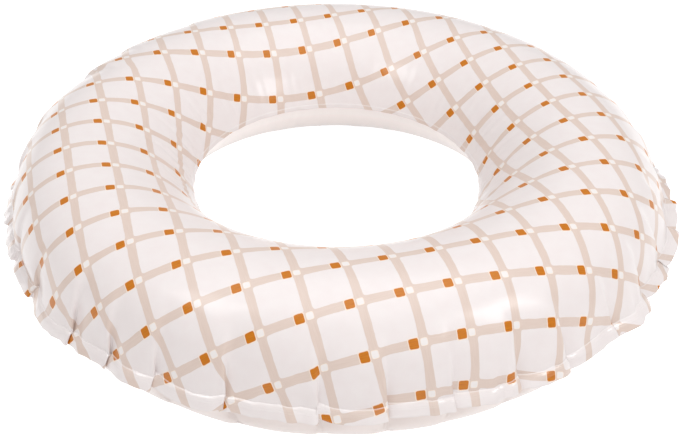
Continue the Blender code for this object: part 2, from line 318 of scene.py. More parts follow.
@dataclass(frozen=True)
class FilmFinish:
    """Soft glossy film, plain or printed, with the marks of the welding tool where it has been welded, and
    painted light by the welds: a painted highlight along them, and on the plain film a painted light band and
    a painted glow.
    """

    name: str
    printed: bool
    inks: Inks = Inks()
    check: Check = Check()
    roughness: float = 0.30
    coat: float = 0.20
    coat_roughness: float = 0.13
    ior: float = 1.40
    # Painted glow: emission that stands in for light coming through the thin film and bouncing onto it. Only
    # the plain film has it.
    glow: float = 0.0
    glow_colour: tuple[float, float, float, float] = (1.0, 0.95, 0.94, 1.0)
    cloud_scale: float = 14
    gloss_scale: float = 40
    gloss_spread: float = 0.08
    grain: float = 0.00003
    grain_scale: float = 900
    ripple: float = 0.00035
    ripple_scale: float = 26
    weld_rib_pitch: float = 0.0021
    weld_rib_height: float = 0.00010
    weld_radius: float = 0.434
    weld_side: float = 1.0
    weld_width: float = 0.0
    # Painted highlight: the colour is paled towards the weld ink over the weld strip, and more in a thin
    # painted glint along the weld line.
    weld_fade: float = 0.06
    glint: float = 0.45
    glint_width: float = 0.0013
    weld_edge: float = 0.0008
    mark_edge: float = 0.0006
    disc_middle: tuple[float, float, float] | None = None
    disc_radius: float = 0.020
    disc_ring_pitch: float = 0.0020
    disc_ring_height: float = 0.00022

    def flat_place(self, sheen: Sheen) -> tuple[Socket, Socket, Socket]:
        """Where a point lies on the flat sheet.

        Args:
            sheen: The material's nodes.

        Returns:
            The coordinates as a vector, and its two parts, in metres.
        """
        vector = sheen.node("ShaderNodeUVMap", uv_map=FLAT_MAP).outputs[0]
        parts = sheen.node("ShaderNodeSeparateXYZ")
        sheen.feed(parts.inputs, vector)
        return vector, parts.outputs[0], parts.outputs[1]

    def from_line(self, sheen: Sheen, across: Socket, middle: float) -> Socket:
        """Signed distance from the nearest line of a family, whose lines lie a pitch apart."""
        turns = sheen.maths("DIVIDE", sheen.maths("SUBTRACT", across, middle), self.check.pitch)
        return sheen.times(sheen.maths("SUBTRACT", turns, sheen.maths("ROUND", turns)), self.check.pitch)

    def far_share(self, sheen: Sheen, across: Socket) -> Socket:
        """Share by which the rows past the hole are printed further apart.

        Args:
            sheen: The material's nodes.
            across: Distance across the rows.

        Returns:
            A share, 0 to 1.
        """
        made = sheen.node("ShaderNodeMapRange", interpolation_type="SMOOTHSTEP")
        sheen.feed(made.inputs, across, *self.check.far_rows)
        return made.outputs[0]

    def brushed(self, sheen: Sheen, along: Socket, across: Socket) -> Socket:
        """Fine streaks that run along a band.

        Args:
            sheen: The material's nodes.
            along: Distance along the band.
            across: Distance across it.

        Returns:
            A share, 0 to 1.
        """
        lane = sheen.node("ShaderNodeCombineXYZ")
        pairs = zip((along, across), self.check.streak_scales)
        sheen.feed(lane.inputs, *(sheen.times(*pair) for pair in pairs))
        return sheen.noise(lane.outputs[0], 1.0, 3.0)

    def print_colour(self, sheen: Sheen) -> Socket:
        """Draw the check, its patches and its squares on the sheet.

        Args:
            sheen: The material's nodes.

        Returns:
            The colour.
        """
        check, inks = self.check, self.inks
        vector, east, north = self.flat_place(sheen)
        cosine, sine = math.cos(check.turn), math.sin(check.turn)

        def turned(first: Socket, second: Socket, gain: float, seed: float) -> Socket:
            """One of the grid's two directions, slightly wavy."""
            return sheen.total(sheen.times(first, cosine), sheen.times(second, gain),
                               sheen.swayed(vector, check.wobble_scale, check.wobble, seed))

        def band_edge(far: Socket, scale: float, seed: float) -> Socket:
            """Distance from a band's edge, uneven along the band.

            Args:
                far: Distance from the band's middle.
                scale: How often the edge sways.
                seed: Gives each family of bands a sway of its own.

            Returns:
                The signed distance.
            """
            return sheen.total(far, sheen.swayed(vector, scale, check.band_sway, seed),
                               sheen.swayed(vector, check.nick_scale, check.wobble, seed + 4.0),
                               -check.band / 2)

        def spot(far: Socket, seed: float) -> Socket:
            """Distance from a spot's middle, as a square with round corners has it."""
            return sheen.total(sheen.maths("SMOOTH_MAX", far, rising_far, check.corner),
                               sheen.swayed(vector, check.corner_scale, check.wobble, seed))

        along, across = turned(east, north, sine, 1.0), turned(north, east, -sine, 2.0)
        far = self.far_share(sheen, across)
        along = sheen.times(along, sheen.maths("MULTIPLY_ADD", far, -check.far_spread, 1.0))
        across = sheen.maths("MULTIPLY_ADD", far, -check.far_gap, across)
        steep = self.from_line(sheen, along, check.patch_middle[0] + check.crossing_step)
        rising = self.from_line(sheen, across, check.patch_middle[1])
        steep_far, rising_far = sheen.maths("ABSOLUTE", steep), sheen.maths("ABSOLUTE", rising)
        bands = sheen.maths("SMOOTH_MIN", band_edge(steep_far, check.band_scales[0], 3.0),
                            band_edge(rising_far, check.band_scales[1], 4.0), check.band_corner)
        patch = spot(sheen.maths("ABSOLUTE", sheen.maths("ADD", steep, check.crossing_step)), 5.0)
        square = spot(steep_far, 6.0)
        on_steep = sheen.maths("LESS_THAN", steep_far, rising_far)
        on_rising = sheen.maths("SUBTRACT", 1.0, on_steep)
        streaks = sheen.total(sheen.times(on_steep, self.brushed(sheen, across, along)),
                              sheen.times(on_rising, self.brushed(sheen, along, across)))
        colour = sheen.mix(sheen.noise(vector, check.cloud_scale, 3.0), inks.shade, inks.sheet)
        layers = ((bands, 0.0, sheen.mix(streaks, inks.beige_dark, inks.beige)),
                  (patch, check.patch / 2 + check.patch_rim, inks.rim),
                  (square, check.square / 2 + check.square_rim, inks.rim),
                  (patch, check.patch / 2, sheen.mix(streaks, inks.patch_dark, inks.patch)),
                  (square, check.square / 2, inks.square))
        for reach, half, ink in layers:
            colour = sheen.mix(sheen.under(reach, half, check.edge), colour, ink)
        return colour

    def from_weld(self, sheen: Sheen) -> Socket:
        """How far a point of the welded strip lies from the weld line.

        Args:
            sheen: The material's nodes.

        Returns:
            The distance.
        """
        _, east, north = self.flat_place(sheen)
        reach = sheen.maths("SQRT", sheen.total(sheen.times(east, east), sheen.times(north, north)))
        return sheen.times(sheen.maths("SUBTRACT", reach, self.weld_radius), self.weld_side)

    def pressed(self, sheen: Sheen, away: Socket) -> Socket:
        """Share of painted light near the weld line: a painted highlight over the strip beside the weld and a
        stronger painted glint along the line itself; on the plain film, a broad painted light band round the
        hole.

        Args:
            sheen: The material's nodes.
            away: Distance from the weld line.

        Returns:
            A share, 0 to 1.
        """
        # strip is the painted highlight over the weld strip; line is the painted glint along the weld line.
        strip = sheen.times(sheen.under(away, self.weld_width, self.weld_edge), self.weld_fade)
        line = sheen.times(sheen.under(away, self.glint_width, self.mark_edge), self.glint)
        return sheen.maths("MAXIMUM", strip, line)

    def surface(self, sheen: Sheen, place: Socket) -> Socket:
        """Fine grain of the film, with the ribs and rings that the welding tool leaves.

        Args:
            sheen: The material's nodes.
            place: The piece's own coordinates.

        Returns:
            The normal.
        """
        normal = sheen.bump(sheen.noise(place, self.grain_scale), self.grain)
        normal = sheen.bump(sheen.noise(place, self.ripple_scale), self.ripple, normal)
        if self.weld_width and self.weld_rib_height:
            normal = sheen.ribbed(normal, self.from_weld(sheen), self.weld_rib_pitch, self.weld_width,
                                  self.mark_edge, self.weld_rib_height)
        if self.disc_middle:
            away = sheen.node("ShaderNodeVectorMath", operation="DISTANCE")
            sheen.feed(away.inputs, place, self.disc_middle)
            normal = sheen.ribbed(normal, away.outputs["Value"], self.disc_ring_pitch, self.disc_radius,
                                  self.mark_edge, self.disc_ring_height)
        return normal

    def material(self) -> bpy.types.Material:
        """Make the material.

        Returns:
            The material, with its nodes.
        """
        made = bpy.data.materials.new(self.name)
        sheen = Sheen(made)
        place = sheen.object_place()
        if self.printed:
            colour = self.print_colour(sheen)
        else:
            colour = sheen.mix(sheen.noise(place, self.cloud_scale, 3.0), self.inks.shade, self.inks.sheet)
        if self.weld_width:
            # Painted highlight and painted light near the weld, mixed into the colour.
            colour = sheen.mix(self.pressed(sheen, self.from_weld(sheen)), colour, self.inks.weld)
        gloss = sheen.maths("MULTIPLY_ADD", sheen.noise(place, self.gloss_scale, 3.0), self.gloss_spread,
                            self.roughness - self.gloss_spread / 2)
        sheen.paint({"Base Color": colour, "Roughness": gloss, "Coat Weight": self.coat,
                     "Coat Roughness": self.coat_roughness, "IOR": self.ior,
                     "Emission Color": self.glow_colour, "Emission Strength": self.glow,
                     "Normal": self.surface(sheen, place)})
        return made


@dataclass(frozen=True)
class MouldedFinish:
    """Soft moulded vinyl of the valve."""

    name: str
    colour: Colour = srgb(240, 236, 234)
    worn: Colour = srgb(229, 222, 219)
    roughness: float = 0.34
    gloss_spread: float = 0.12
    coat: float = 0.15
    cloud_scale: float = 160
    grain: float = 0.00004
    grain_scale: float = 1400

    def material(self) -> bpy.types.Material:
        """Make the material.

        Returns:
            The material, with its nodes.
        """
        made = bpy.data.materials.new(self.name)
        sheen = Sheen(made)
        place = sheen.object_place()
        cloud = sheen.noise(place, self.cloud_scale, 4.0)
        gloss = sheen.maths("MULTIPLY_ADD", cloud, self.gloss_spread, self.roughness - self.gloss_spread / 2)
        normal = sheen.bump(sheen.noise(place, self.grain_scale), self.grain)
        sheen.paint({"Base Color": sheen.mix(cloud, self.worn, self.colour), "Roughness": gloss,
                     "Coat Weight": self.coat, "Normal": normal})
        return made


def added(name: str, data: bpy.types.ID) -> bpy.types.Object:
    """Put a mesh, camera or lamp into the scene.

    Args:
        name: Name of the new object.
        data: What it shows.

    Returns:
        The object, at the origin.
    """
    made = bpy.data.objects.new(name, data)
    bpy.context.scene.collection.objects.link(made)
    return made


def linked(name: str, mesh: bmesh.types.BMesh) -> bpy.types.Object:
    """Turn a bmesh into an object at the origin.

    Args:
        name: Name of the new object.
        mesh: Its shape. It is freed.

    Returns:
        The object.
    """
    data = bpy.data.meshes.new(name)
    mesh.to_mesh(data)
    mesh.free()
    return added(name, data)


def place_mesh(name: str, mesh: bmesh.types.BMesh, material: bpy.types.Material) -> bpy.types.Object:
    """Turn a bmesh into a smooth-shaded object at the origin.

    Args:
        name: The piece's name.
        mesh: Its shape, in the frame's coordinates. It is freed.
        material: Its finish.

    Returns:
        The new object.
    """
    made = linked(name, mesh)
    made.data.shade_smooth()
    made.data.materials.append(material)
    return made


def spun(profile: Profile, steps: int, closed: bool = False) -> bmesh.types.BMesh:
    """Turn a profile once round the Z axis.

    Args:
        profile: Radius and height of each point.
        steps: Number of steps of the full turn.
        closed: Whether the last point joins the first.

    Returns:
        The turned shape.
    """
    mesh = bmesh.new()
    corners = [mesh.verts.new((radius, 0, height)) for radius, height in profile]
    pairs = list(zip(corners, corners[1:])) + [(corners[-1], corners[0])] * closed
    edges = [mesh.edges.new(pair) for pair in pairs]
    bmesh.ops.spin(mesh, geom=corners + edges, cent=(0, 0, 0), axis=(0, 0, 1), angle=math.tau,
                   steps=steps, use_merge=True)
    bmesh.ops.remove_doubles(mesh, verts=mesh.verts, dist=1e-6)
    bmesh.ops.recalc_face_normals(mesh, faces=mesh.faces)
    return mesh


def modify(piece: bpy.types.Object, name: str, kind: str, **settings: object) -> bpy.types.Modifier:
    """Add a modifier and set its properties.

    Args:
        piece: The piece.
        name: The modifier's name.
        kind: Its type.
        settings: Its properties.

    Returns:
        The modifier.
    """
    made = piece.modifiers.new(name, kind)
    for key, value in settings.items():
        setattr(made, key, value)
    return made


def settle(piece: bpy.types.Object, modifier: bpy.types.Modifier) -> None:
    """Apply a modifier to its piece."""
    with bpy.context.temp_override(object=piece, active_object=piece):
        bpy.ops.object.modifier_apply(modifier=modifier.name)


def thicken(piece: bpy.types.Object, thickness: float, offset: float) -> None:
    """Give a film its thickness: offset -1 inwards, 0 to both sides.

    The large faces then set the shading, so that a thin rim doesn't darken the face beside it.

    Args:
        piece: The film.
        thickness: Its thickness.
        offset: Where the thickness lies.
    """
    modify(piece, "Thickness", "SOLIDIFY", thickness=thickness, offset=offset, use_even_offset=False)
    modify(piece, "Shading", "WEIGHTED_NORMAL", mode="FACE_AREA", weight=50, keep_sharp=False)


def round_edges(piece: bpy.types.Object, width: float, segments: int = 3) -> None:
    """Round the sharp edges of a moulded piece."""
    modify(piece, "Rounding", "BEVEL", affect="EDGES", width=width, segments=segments, limit_method="ANGLE",
           angle_limit=SHARP_EDGE, profile=0.5, harden_normals=True, material=-1)


def numbers(source: bpy.types.bpy_prop_collection, key: str, width: int = 1,
            kind: type = float) -> np.ndarray:
    """Read one property of every item of a collection.

    Args:
        source: The collection.
        key: The property's name.
        width: How many numbers it holds.
        kind: Their type.

    Returns:
        A number per item, or a row per item where the property is wider.
    """
    values = np.empty(len(source) * width, kind)
    source.foreach_get(key, values)
    return values.reshape(-1, width) if width > 1 else values


def marks(data: bpy.types.Mesh, name: str) -> np.ndarray:
    """Whole number that each point of a mesh carries under a name."""
    return numbers(data.attributes[name].data, "value", kind=np.int32)


def running_sum(values: np.ndarray, steps: np.ndarray) -> np.ndarray:
    """Integral of values over steps, from the first to each of the others."""
    return np.concatenate([[0.0], np.cumsum((values[1:] + values[:-1]) / 2 * np.diff(steps))])


def by_bearing(table: Table, turn: np.ndarray) -> np.ndarray:
    """Value at each share of a turn, from pairs of bearing in degrees and value."""
    bearings, values = zip(*table)
    return np.interp(turn * 360 % 360, bearings, values)


@dataclass
class TubeSection:
    """The blown-up film in a cut through the tube, from the hole's weld to the outer weld."""

    hole_radius: float = 0.173
    film_width: float = 0.283
    plumpness: float = 1.03
    steps: int = 1440
    halvings: int = 40
    arcs: np.ndarray = field(init=False)
    radii: np.ndarray = field(init=False)
    heights: np.ndarray = field(init=False)
    slopes: np.ndarray = field(init=False)

    def __post_init__(self) -> None:
        """Find the fullness at which hole radius and film width are the ring's own."""
        low, high = 0.001, 0.999
        for _ in range(self.halvings):
            fullness = (low + high) / 2
            arc, radius, height, slope = self.half_turned(fullness)
            if arc[-1] / radius[-1] < self.film_width / self.hole_radius:
                low = fullness
            else:
                high = fullness
        scale = self.hole_radius / radius[-1]
        self.arcs = (arc[-1] - arc)[::-1] * self.film_width / arc[-1]
        self.radii = (radius * scale)[::-1]
        self.heights = (height * scale * self.plumpness)[::-1]
        self.slopes = slope[::-1]

    def half_turned(self, fullness: float) -> tuple[np.ndarray, ...]:
        """The section from the outer weld inwards, for a crown at radius 1.

        Air pressure on a film that can wrinkle round the ring but not stretch bends it in proportion
        to its radius, so the radius is the root of 1 - fullness * sin(slope).

        Args:
            fullness: Share, 0 to 1, that sets how wide the tube is for its ring.

        Returns:
            Arc, radius, height and slope of each step.
        """
        slope = np.linspace(-math.pi / 2, math.pi / 2, self.steps)
        radius = np.sqrt(1 - fullness * np.sin(slope))
        arc = running_sum(fullness / 2 / radius, slope)
        height = running_sum(-fullness / 2 * np.sin(slope) / radius, slope)
        last = int(np.argmax((slope > 0) & (height <= 0)))
        share = height[last - 1] / (height[last - 1] - height[last])
        return tuple(np.append(values[:last], values[last - 1] + share * (values[last] - values[last - 1]))
                     for values in (arc, radius, height, slope))

    def at(self, arc: np.ndarray) -> tuple[np.ndarray, np.ndarray, np.ndarray]:
        """Radius, height over the weld plane and slope at arcs from the hole's weld."""
        return tuple(np.interp(arc, self.arcs, values) for values in (self.radii, self.heights, self.slopes))


@dataclass(frozen=True)
class ValveSeat:
    """Where the valve sits on the lower film, with Z out of the film and X uphill to the outer weld."""

    centre: tuple[float, float, float] = (0.0, 0.362654, 0.038294)
    outward: tuple[float, float, float] = (0.0, 0.827385, -0.561635)
    film_drop: float = 0.0006
    hole_radius: float = 0.0130
    calm_reach: float = 0.023
    calm_fade: float = 0.015

    def matrix(self) -> Matrix:
        """How the valve's own axes lie in the frame.

        Returns:
            The matrix from the valve's coordinates to the frame's.
        """
        out = Vector(self.outward)
        side = Vector((1, 0, 0))
        uphill = out.cross(side)
        if uphill.z < 0:
            uphill.negate()
        turned = Matrix((uphill, out.cross(uphill), out)).transposed()
        return Matrix.Translation(self.centre) @ turned.to_4x4()

    def away(self, point: Vector) -> float:
        """Distance from the seat's middle."""
        return (point - Vector(self.centre)).length

    def from_axis(self, point: Vector) -> float:
        """Distance from the valve's axis."""
        offset = point - Vector(self.centre)
        return (offset - offset.project(Vector(self.outward))).length

    def on_circle(self, point: Vector, radius: float) -> Vector:
        """Move a point square to the valve's axis onto a circle round it.

        Args:
            point: The point.
            radius: The circle's radius.

        Returns:
            The moved point.
        """
        offset = point - Vector(self.centre)
        height = offset.project(Vector(self.outward))
        return Vector(self.centre) + height + (offset - height).normalized() * radius

    def calm(self, point: Vector) -> float:
        """Share, 1 to 0, in which the film lies smooth round the valve."""
        share = min(max((self.calm_reach + self.calm_fade - self.away(point)) / self.calm_fade, 0.0), 1.0)
        return share * share * (3 - 2 * share)


@dataclass
class Folds:
    """Where the spare film round the outer weld folds in, and how each fold lies.

    A fold is a short pleat: going round the ring, the sheet's direction swings over and back again, so
    the end of one lobe lies over the start of the next.
    """

    seen: tuple[float, ...] = (194, 204, 214.5, 227, 235, 243.5, 254.5, 267.5, 277, 286.5, 296.5, 305, 315.5,
                               325.5, 335, 344, 353)
    valve_lobe: tuple[float, float] = (83.9, 96.1)
    hidden_each_side: int = 8
    calm_lobes: int = 3
    calm_depth: float = 0.35
    calm_lift: float = 0.25
    jitter: float = 0.4
    depth_spread: float = 0.45
    columns_per_lobe: int = 20
    steepest: float = math.radians(176)
    crowding: float = 0.62
    half_width: float = 0.0052
    half_width_gain: float = 0.10
    flatness: float = 0.85
    arch: float = 0.0042
    arch_spread: float = 0.45
    arch_roundness: float = 2.5
    arch_sink: float = 0.6
    lift: float = 0.0038
    ripple: float = 0.00080
    ripple_reach: float = 0.050
    ripple_waves: tuple[tuple[int, float], ...] = ((89, 1.0), (127, 0.8), (163, 0.6))
    ripple_gusts: int = 11
    full_spare: float = 0.1
    seed: int = 5
    samples: int = 16
    halvings: int = 30
    turns: np.ndarray = field(init=False)
    depths: np.ndarray = field(init=False)
    arches: np.ndarray = field(init=False)
    lifts: np.ndarray = field(init=False)
    columns: np.ndarray = field(init=False)

    def __post_init__(self) -> None:
        """Draw the folds on the far side, each fold's depth and lift, and the columns, crowded at the folds.

        The first few lobes, at the left edge of the picture, are broad and smooth there.
        """
        draw = random.Random(self.seed)
        bearings = list(self.seen)
        stops = (self.seen[-1], 360 + self.valve_lobe[0], 360 + self.valve_lobe[1], 360 + self.seen[0])
        for start, stop in (stops[:2], stops[2:]):
            step = (stop - start) / (self.hidden_each_side + 1)
            bearings += [start + step * (k + 1 + draw.uniform(-0.5, 0.5) * self.jitter)
                         for k in range(self.hidden_each_side)]
            bearings.append(stop)
            if stop == stops[1]:
                bearings.append(stops[2])
        self.turns = np.array(bearings) / 360
        count = len(self.turns) - 1
        self.depths = np.array([draw.uniform(1 - self.depth_spread, 1 + self.depth_spread)
                                for _ in range(count)])
        self.arches = np.array([draw.uniform(1 - self.arch_spread, 1 + self.arch_spread)
                                for _ in range(count)])
        self.lifts = np.array([[draw.uniform(-1.0, 1.0) * self.lift for _ in range(2)] for _ in range(count)])
        self.depths[:self.calm_lobes] *= self.calm_depth
        self.lifts[:self.calm_lobes] *= self.calm_lift
        share = np.arange(self.columns_per_lobe) / self.columns_per_lobe
        share = share - self.crowding * np.sin(math.tau * share) / math.tau
        widths = np.diff(self.turns)
        self.columns = (self.turns[:-1, None] + widths[:, None] * share).ravel()

    def along(self, turn: np.ndarray) -> tuple[np.ndarray, np.ndarray]:
        """Lobe in which each share of a turn lies, and the share along it."""
        lobe = np.clip(np.searchsorted(self.turns, turn, side="right") - 1, 0, len(self.depths) - 1)
        return lobe, (turn - self.turns[lobe]) / (self.turns[lobe + 1] - self.turns[lobe])

    def path(self, radius: float, spare: float, from_weld: float) -> tuple[np.ndarray, ...]:
        """The way that one row of the film takes round the ring.

        Args:
            radius: The row's mean radius.
            spare: Share of its length that the folds must hide.
            from_weld: Distance from the outer weld.

        Returns:
            Bearing in turns, outward step in metres and lift share of each column.
        """
        count = len(self.depths)
        fine = np.linspace(self.turns[0], self.turns[-1], len(self.columns) * self.samples + 1)
        length = math.tau * radius * (1 + spare)
        half = self.half_width + self.half_width_gain * from_weld
        widths = np.diff(self.turns)
        widths = (widths + np.roll(widths, 1)) / 2 * count
        swings = np.zeros(len(fine))
        for fold in range(count + 1):
            away = (fine - self.turns[fold]) * length
            near = np.abs(away) < half
            bump = np.cos(away[near] * math.pi / 2 / half) ** 2
            swings[near] = bump * math.sqrt(self.depths[fold % count] * widths[fold % count])
        low, high = 0.0, self.steepest
        for _ in range(self.halvings):
            swing = (low + high) / 2
            angle = np.minimum(swing * swings, self.steepest)
            forward = running_sum(np.cos(angle), fine * length)
            if forward[-1] > math.tau * radius:
                low = swing
            else:
                high = swing
        drop = running_sum(np.sin(angle), fine * length)
        lobe, share = self.along(fine)
        middles = (self.turns[:-1] + self.turns[1:]) / 2
        wanted = fine * math.tau * radius
        drift = forward + self.turns[0] * math.tau * radius - wanted
        drift -= np.interp(fine, np.concatenate([middles[-1:] - 1, middles, middles[:1] + 1]),
                           np.pad(np.interp(middles, fine, drift), 1, mode="wrap"))
        step = -self.flatness * (drop - np.interp(fine, self.turns, np.interp(self.turns, fine, drop)))
        fade = min(spare / self.full_spare, 1.0)
        arch = self.arch * fade * self.arches[lobe] * (1 - np.abs(2 * share - 1) ** self.arch_roundness)
        lift = np.abs(2 * share - 1) ** 3 * self.lifts[lobe, (share >= 0.5).astype(int)] * fade
        lift = self.blurred(lift, round(half / length * len(fine)))
        step = step + arch - self.arch_sink * self.arch * fade + self.rippled(fine, from_weld)
        bearing = fine + drift / (math.tau * radius)
        return tuple(np.interp(self.columns, fine, values) for values in (bearing, step, lift))

    def rippled(self, turn: np.ndarray, from_weld: float) -> np.ndarray:
        """Fine ripples that run in from the outer weld.

        Args:
            turn: Bearings, in turns.
            from_weld: Distance from the outer weld.

        Returns:
            The outward step at each bearing.
        """
        near = max(1 - from_weld / self.ripple_reach, 0.0) ** 1.5
        waves = sum(share * np.sin(math.tau * count * turn + count) for count, share in self.ripple_waves)
        gusts = 0.6 + 0.4 * np.sin(math.tau * self.ripple_gusts * turn + 2.0)
        return self.ripple * near * waves * gusts

    @staticmethod
    def blurred(values: np.ndarray, reach: int) -> np.ndarray:
        """Values of a full turn, each averaged with its neighbours."""
        weights = np.hanning(2 * reach + 3)
        return np.convolve(np.pad(values, reach + 1, mode="wrap"), weights / weights.sum(), mode="valid")


@dataclass(frozen=True)
class FilmFeel:
    """How the film behaves while it is blown up, under the names that the cloth settings have."""

    quality: int = 5
    mass: float = 0.02
    air_damping: float = 1.0
    tension_stiffness: float = 40.0
    compression_stiffness: float = 40.0
    shear_stiffness: float = 20.0
    bending_stiffness: float = 0.02
    tension_damping: float = 5.0
    compression_damping: float = 5.0
    shear_damping: float = 5.0
    use_pressure: bool = True
    uniform_pressure_force: float = 60.0
    vertex_group_pressure: str = "air"
    vertex_group_mass: str = "held"


@dataclass
class BlownFilms:
    """Upper film, lower film and outer margin, blown up as one cage and cut apart."""

    section: TubeSection
    folds: Folds
    seat: ValveSeat
    weld_level: float
    flat_hole_radius: float = 0.151
    film_thickness: float = 0.0003
    margin_thickness: float = 0.0006
    margin_width: float = 0.0145
    margin_rows: int = 8
    margin_bend: float = 0.0042
    flare: float = 0.0010
    flare_reach: float = 0.006
    lower_swell: float = 0.0115
    swell_arc: float = 0.200
    swell_reach: float = 0.052
    strip_droop: float = math.radians(16)
    margin_droops: Table = ((0, 14), (15, 30), (40, 58), (150, 58), (180, 50), (205, 56), (235, 66),
                            (300, 66), (322, 50), (338, 26), (352, 14), (360, 14))
    droop_spread: float = math.radians(9)
    droop_waves: tuple[tuple[float, int, float], ...] = ((0.6, 13, 1.0), (0.4, 31, 0.0))
    droop_steps: int = 25
    pulls: Table = ((0, 0.0060), (14, 0.0035), (30, 0.0), (196, 0.0), (204, -0.0020), (211, -0.0045),
                    (216, 0.0), (221, 0.0065), (227, 0.0045), (233, -0.0005), (239, 0.0040), (244, 0.0015),
                    (250, 0.0045), (256, 0.0025), (264, 0.0010), (296, 0.0010), (301, 0.0040), (307, 0.0055),
                    (313, 0.0015), (320, 0.0085), (326, 0.0028), (332, 0.0045), (345, 0.0060), (360, 0.0060))
    pull_reach: float = 0.035
    far_steps: Table = ((0, 0.0), (10, 0.0), (18, -0.0030), (22, -0.0010), (50, -0.0015), (60, 0.0),
                        (127, 0.0010), (128, -0.0035), (137, -0.0010), (145, 0.0010), (146, -0.0045),
                        (151, -0.0010), (155.5, 0.0010), (156.5, -0.0085), (163, -0.0025), (168, 0.0),
                        (360, 0.0))
    far_step_arcs: tuple[float, float] = (0.125, 0.185)
    seam_hold_reach: float = 0.050
    held_arc: float = 0.10
    held_rows: int = 14
    hole_ripple: float = 0.0009
    hole_ripple_arc: float = 0.020
    hole_ripple_waves: tuple[int, ...] = (61, 83, 107)
    blown_rows: int = 36
    slack: float = 0.13
    slack_from: float = 0.214
    slack_power: float = 1.75
    frames: int = 8
    feel: FilmFeel = FilmFeel()
    valve_grid_reach: float = 0.010
    valve_grid_cuts: int = 4

    def arcs(self) -> list[float]:
        """Where the film's rows lie.

        Returns:
            Arcs from the hole's weld to the outer weld.
        """
        held = [self.held_arc * k / self.held_rows for k in range(self.held_rows)]
        width = self.section.film_width - self.held_arc
        return held + [self.held_arc + width * k / self.blown_rows for k in range(self.blown_rows + 1)]

    def seam_row(self) -> int:
        """Number of the row on the outer weld, which is the middle one of both films' rows."""
        return len(self.arcs()) - 1

    def rows(self) -> list[tuple[Sheet, float]]:
        """The cage's rows: up the upper film, back down the lower one, then out over the margin.

        Returns:
            Sheet and arc of each row.
        """
        arcs = self.arcs()
        upper = [(Sheet.UPPER, arc) for arc in arcs]
        lower = [(Sheet.LOWER, arc) for arc in reversed(arcs[:-1])]
        margin = [(Sheet.MARGIN, self.section.film_width + self.margin_width * k / self.margin_rows)
                  for k in range(1, self.margin_rows + 1)]
        return upper + lower + margin

    def rolled(self) -> bpy.types.Object:
        """Roll a grid of the film's rows into a tube, and add the margin's rows.

        Returns:
            The cage, each point of which carries the number of its row.
        """
        seam = self.seam_row()
        last = 2 * seam
        mesh = bmesh.new()
        bmesh.ops.create_grid(mesh, x_segments=len(self.folds.columns), y_segments=last, size=0.5)
        number = mesh.verts.layers.int.new("row")
        for vert in mesh.verts:
            vert[number] = round((vert.co.y + 0.5) * last)
            bearing = math.tau * (vert.co.x + 0.5)
            vert.co = (math.cos(bearing), math.sin(bearing), 0.01 * vert[number])
        joint = [vert for vert in mesh.verts if vert.is_boundary and 0 < vert[number] < last]
        ends = [vert for vert in mesh.verts if vert[number] in (0, last)]
        bmesh.ops.remove_doubles(mesh, verts=joint + ends, dist=1e-4)
        hoop = [edge for edge in mesh.edges if all(vert[number] == seam for vert in edge.verts)]
        for row in range(last + 1, len(self.rows())):
            extruded = bmesh.ops.extrude_edge_only(mesh, edges=hoop)["geom"]
            for vert in extruded:
                if isinstance(vert, bmesh.types.BMVert):
                    vert[number] = row
            hoop = [edge for edge in extruded if isinstance(edge, bmesh.types.BMEdge)
                    and all(vert[number] == row for vert in edge.verts)]
        bmesh.ops.recalc_face_normals(mesh, faces=mesh.faces)
        bmesh.ops.reverse_faces(mesh, faces=mesh.faces)
        mesh.verts.index_update()
        mesh.edges.sort(key=self.order)
        mesh.faces.sort(key=self.order)
        return linked("cage", mesh)

    @staticmethod
    def order(part: bmesh.types.BMEdge | bmesh.types.BMFace) -> float:
        """Place of an edge or face in the cage's lists, so that the cloth gives the same result each run."""
        places = [vert.index for vert in part.verts]
        return min(places) * 1e6 + max(places)

    def row_points(self, sheet: Sheet, arc: float) -> np.ndarray:
        """Where the points of one row lie.

        Args:
            sheet: The row's sheet.
            arc: The row's arc from the hole's weld.

        Returns:
            A line of x, y, z per column.
        """
        width = self.section.film_width
        at = min(arc, width)
        from_weld = width - at
        radius, height, slope = (float(value) for value in self.section.at(at))
        share = max((at - self.slack_from) / (width - self.slack_from), 0.0)
        turn, step, lift = self.folds.path(radius, self.slack * share ** self.slack_power, from_weld)
        side = -1 if sheet is Sheet.LOWER else 1
        if sheet is Sheet.LOWER:
            near = max(1 - ((at - self.swell_arc) / self.swell_reach) ** 2, 0.0)
            step = step + self.lower_swell * near ** 2
        if at > width - self.flare_reach:
            step = step + self.flare * (1 - from_weld / self.flare_reach) ** 2
        step = step + self.rippled(turn, at)
        out, down = self.drooped(turn, arc - at)
        out = out + max(1 - from_weld / self.pull_reach, 0.0) ** 2 * by_bearing(self.pulls, turn)
        if sheet is Sheet.UPPER:
            low, high = self.far_step_arcs
            share = min(max((at - low) / (high - low), 0.0), 1.0, from_weld / self.pull_reach)
            out = out + share ** 2 * (3 - 2 * share) * by_bearing(self.far_steps, turn)
        reach = radius - math.sin(slope) * step + out
        level = self.weld_level + (height + math.cos(slope) * step) * side + lift - down
        bearing = math.tau * turn
        return np.stack([reach * np.cos(bearing), reach * np.sin(bearing), np.maximum(level, 0.0)], -1)

    def rippled(self, turn: np.ndarray, arc: float) -> np.ndarray:
        """Fine ripples that run out from the hole's weld, where the film is tight on the left and right.

        Args:
            turn: Bearings, in turns.
            arc: Distance from the hole's weld.

        Returns:
            The outward step at each bearing.
        """
        near = arc / self.hole_ripple_arc * math.exp(1 - arc / self.hole_ripple_arc)
        waves = sum(np.sin(math.tau * count * turn + count) for count in self.hole_ripple_waves)
        return self.hole_ripple / 2 * near * waves * (0.15 + 0.85 * np.cos(math.tau * turn) ** 6)

